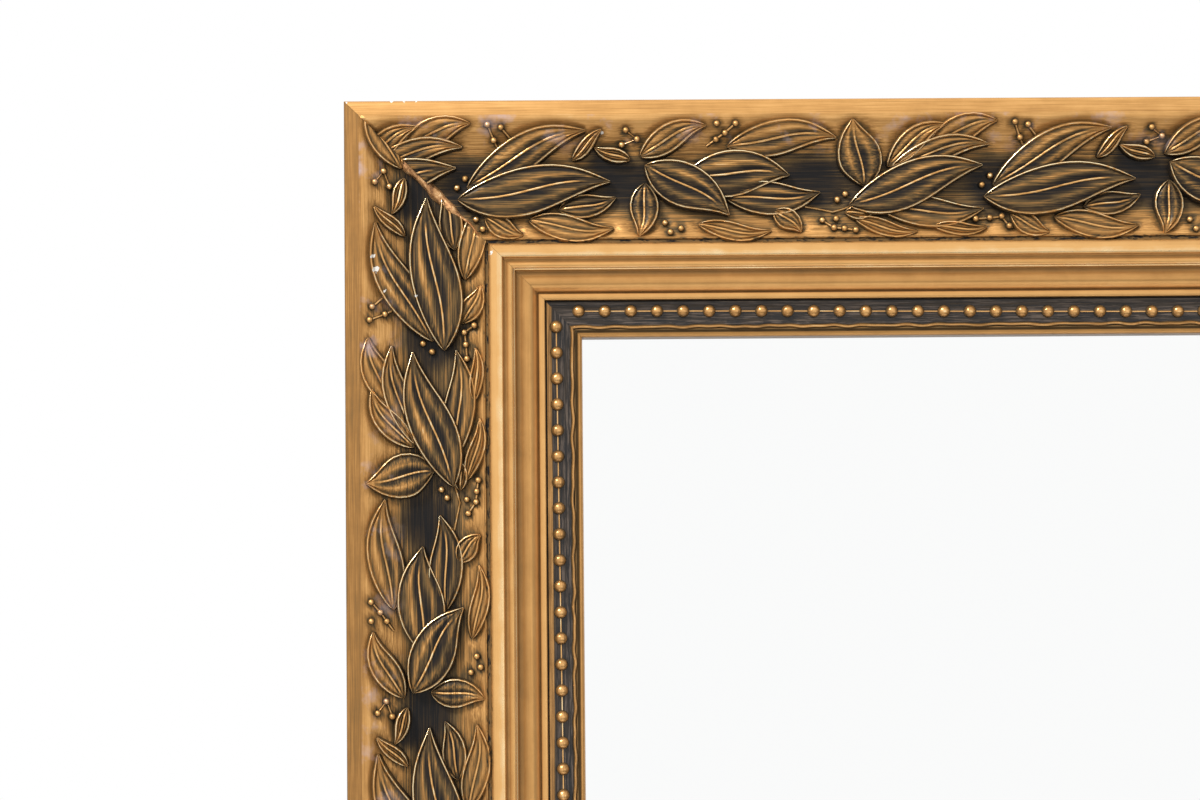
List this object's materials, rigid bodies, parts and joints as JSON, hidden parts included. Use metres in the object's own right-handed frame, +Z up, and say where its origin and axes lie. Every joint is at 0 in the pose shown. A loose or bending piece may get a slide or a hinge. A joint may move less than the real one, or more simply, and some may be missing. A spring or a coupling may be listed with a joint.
{
  "type": "cheval floor mirror",
  "caption": "Full-length mirror in a gilt frame with a leaf garland and bead course, tilting between two turned posts on splayed legs.",
  "frame": {"origin": "on the floor, under the middle of the stand", "axes": "+Z up, +X to the right when facing the glass, the glass faces -Y"},
  "size_m": [0.7688, 0.5202, 1.715],
  "materials": {
    "gilt_moulding": "antique gold leaf over gesso, brushed along its length, rubbed at the edges",
    "gilt_ornament": "pressed composition ornament, gilt, with a black-brown patina wiped off the high places",
    "gilt_stand": "turned and sawn wood, gilt and rubbed to match the frame",
    "mirror": "4 mm silvered float glass",
    "hardboard": "brown hardboard, smooth side out",
    "zinc_steel": "zinc-plated pressed steel",
    "brass": "turned brass, dulled, dark in its hollows",
    "fibre": "black vulcanised fibre",
    "felt": "pressed felt on a hard core"
  },
  "bodies": {
    "stand": {"stretcher": "gilt_stand", "left_post": "gilt_stand", "left_finial": "gilt_stand", "left_drop": "gilt_stand", "left_stretcher_bolt": "brass", "left_bush": "brass", "left_spacer": "fibre", "left_front_leg": "gilt_stand", "left_front_glide": "felt", "left_back_leg": "gilt_stand", "left_back_glide": "felt", "right_post": "gilt_stand", "right_finial": "gilt_stand", "right_drop": "gilt_stand", "right_stretcher_bolt": "brass", "right_bush": "brass", "right_spacer": "fibre", "right_front_leg": "gilt_stand", "right_front_glide": "felt", "right_back_leg": "gilt_stand", "right_back_glide": "felt"},
    "mirror_panel": {"top_rail": "gilt_moulding", "top_garland": "gilt_ornament", "top_beading": "gilt_ornament", "left_stile": "gilt_moulding", "left_garland": "gilt_ornament", "left_beading": "gilt_ornament", "bottom_rail": "gilt_moulding", "bottom_garland": "gilt_ornament", "bottom_beading": "gilt_ornament", "right_stile": "gilt_moulding", "right_garland": "gilt_ornament", "right_beading": "gilt_ornament", "mirror_glass": "mirror", "backing_board": "hardboard", "top_left_corner_plate": "zinc_steel", "top_right_corner_plate": "zinc_steel", "bottom_left_corner_plate": "zinc_steel", "bottom_right_corner_plate": "zinc_steel", "back_clip_1": "zinc_steel", "clip_screw_1": "zinc_steel", "back_clip_2": "zinc_steel", "clip_screw_2": "zinc_steel", "back_clip_3": "zinc_steel", "clip_screw_3": "zinc_steel", "back_clip_4": "zinc_steel", "clip_screw_4": "zinc_steel", "back_clip_5": "zinc_steel", "clip_screw_5": "zinc_steel", "back_clip_6": "zinc_steel", "clip_screw_6": "zinc_steel", "left_insert": "brass", "right_insert": "brass"},
    "left_washer": {"left_knob_washer": "brass"},
    "left_clamp": {"left_knob": "brass", "left_stud": "brass"},
    "right_washer": {"right_knob_washer": "brass"},
    "right_clamp": {"right_knob": "brass", "right_stud": "brass"}
  },
  "joints": [
    {"name": "mirror_tilt", "type": "hinge", "parent": "stand", "child": "mirror_panel", "pos_m": [0, 0, 0.995], "axis": [1, 0, 0], "range_deg": [-35, 35]},
    {"name": "left_clamp_travel", "type": "slide", "parent": "mirror_panel", "child": "left_washer", "axis": [-1, 0, 0], "range_m": [0, 0.00125]},
    {"name": "left_knob_turn", "type": "hinge", "parent": "left_washer", "child": "left_clamp", "pos_m": [-0.3544, 0, 0.995], "axis": [-1, 0, 0], "range_deg": [0, 360.5]},
    {"name": "right_clamp_travel", "type": "slide", "parent": "mirror_panel", "child": "right_washer", "axis": [1, 0, 0], "range_m": [0, 0.00125]},
    {"name": "right_knob_turn", "type": "hinge", "parent": "right_washer", "child": "right_clamp", "pos_m": [0.3544, 0, 0.995], "axis": [1, 0, 0], "range_deg": [0, 360.5]}
  ],
  "couplings": [
    {"joint": "left_knob_turn", "follows": "left_clamp_travel", "rad_per_m": 5026.5},
    {"joint": "right_knob_turn", "follows": "right_clamp_travel", "rad_per_m": 5026.5}
  ]
}
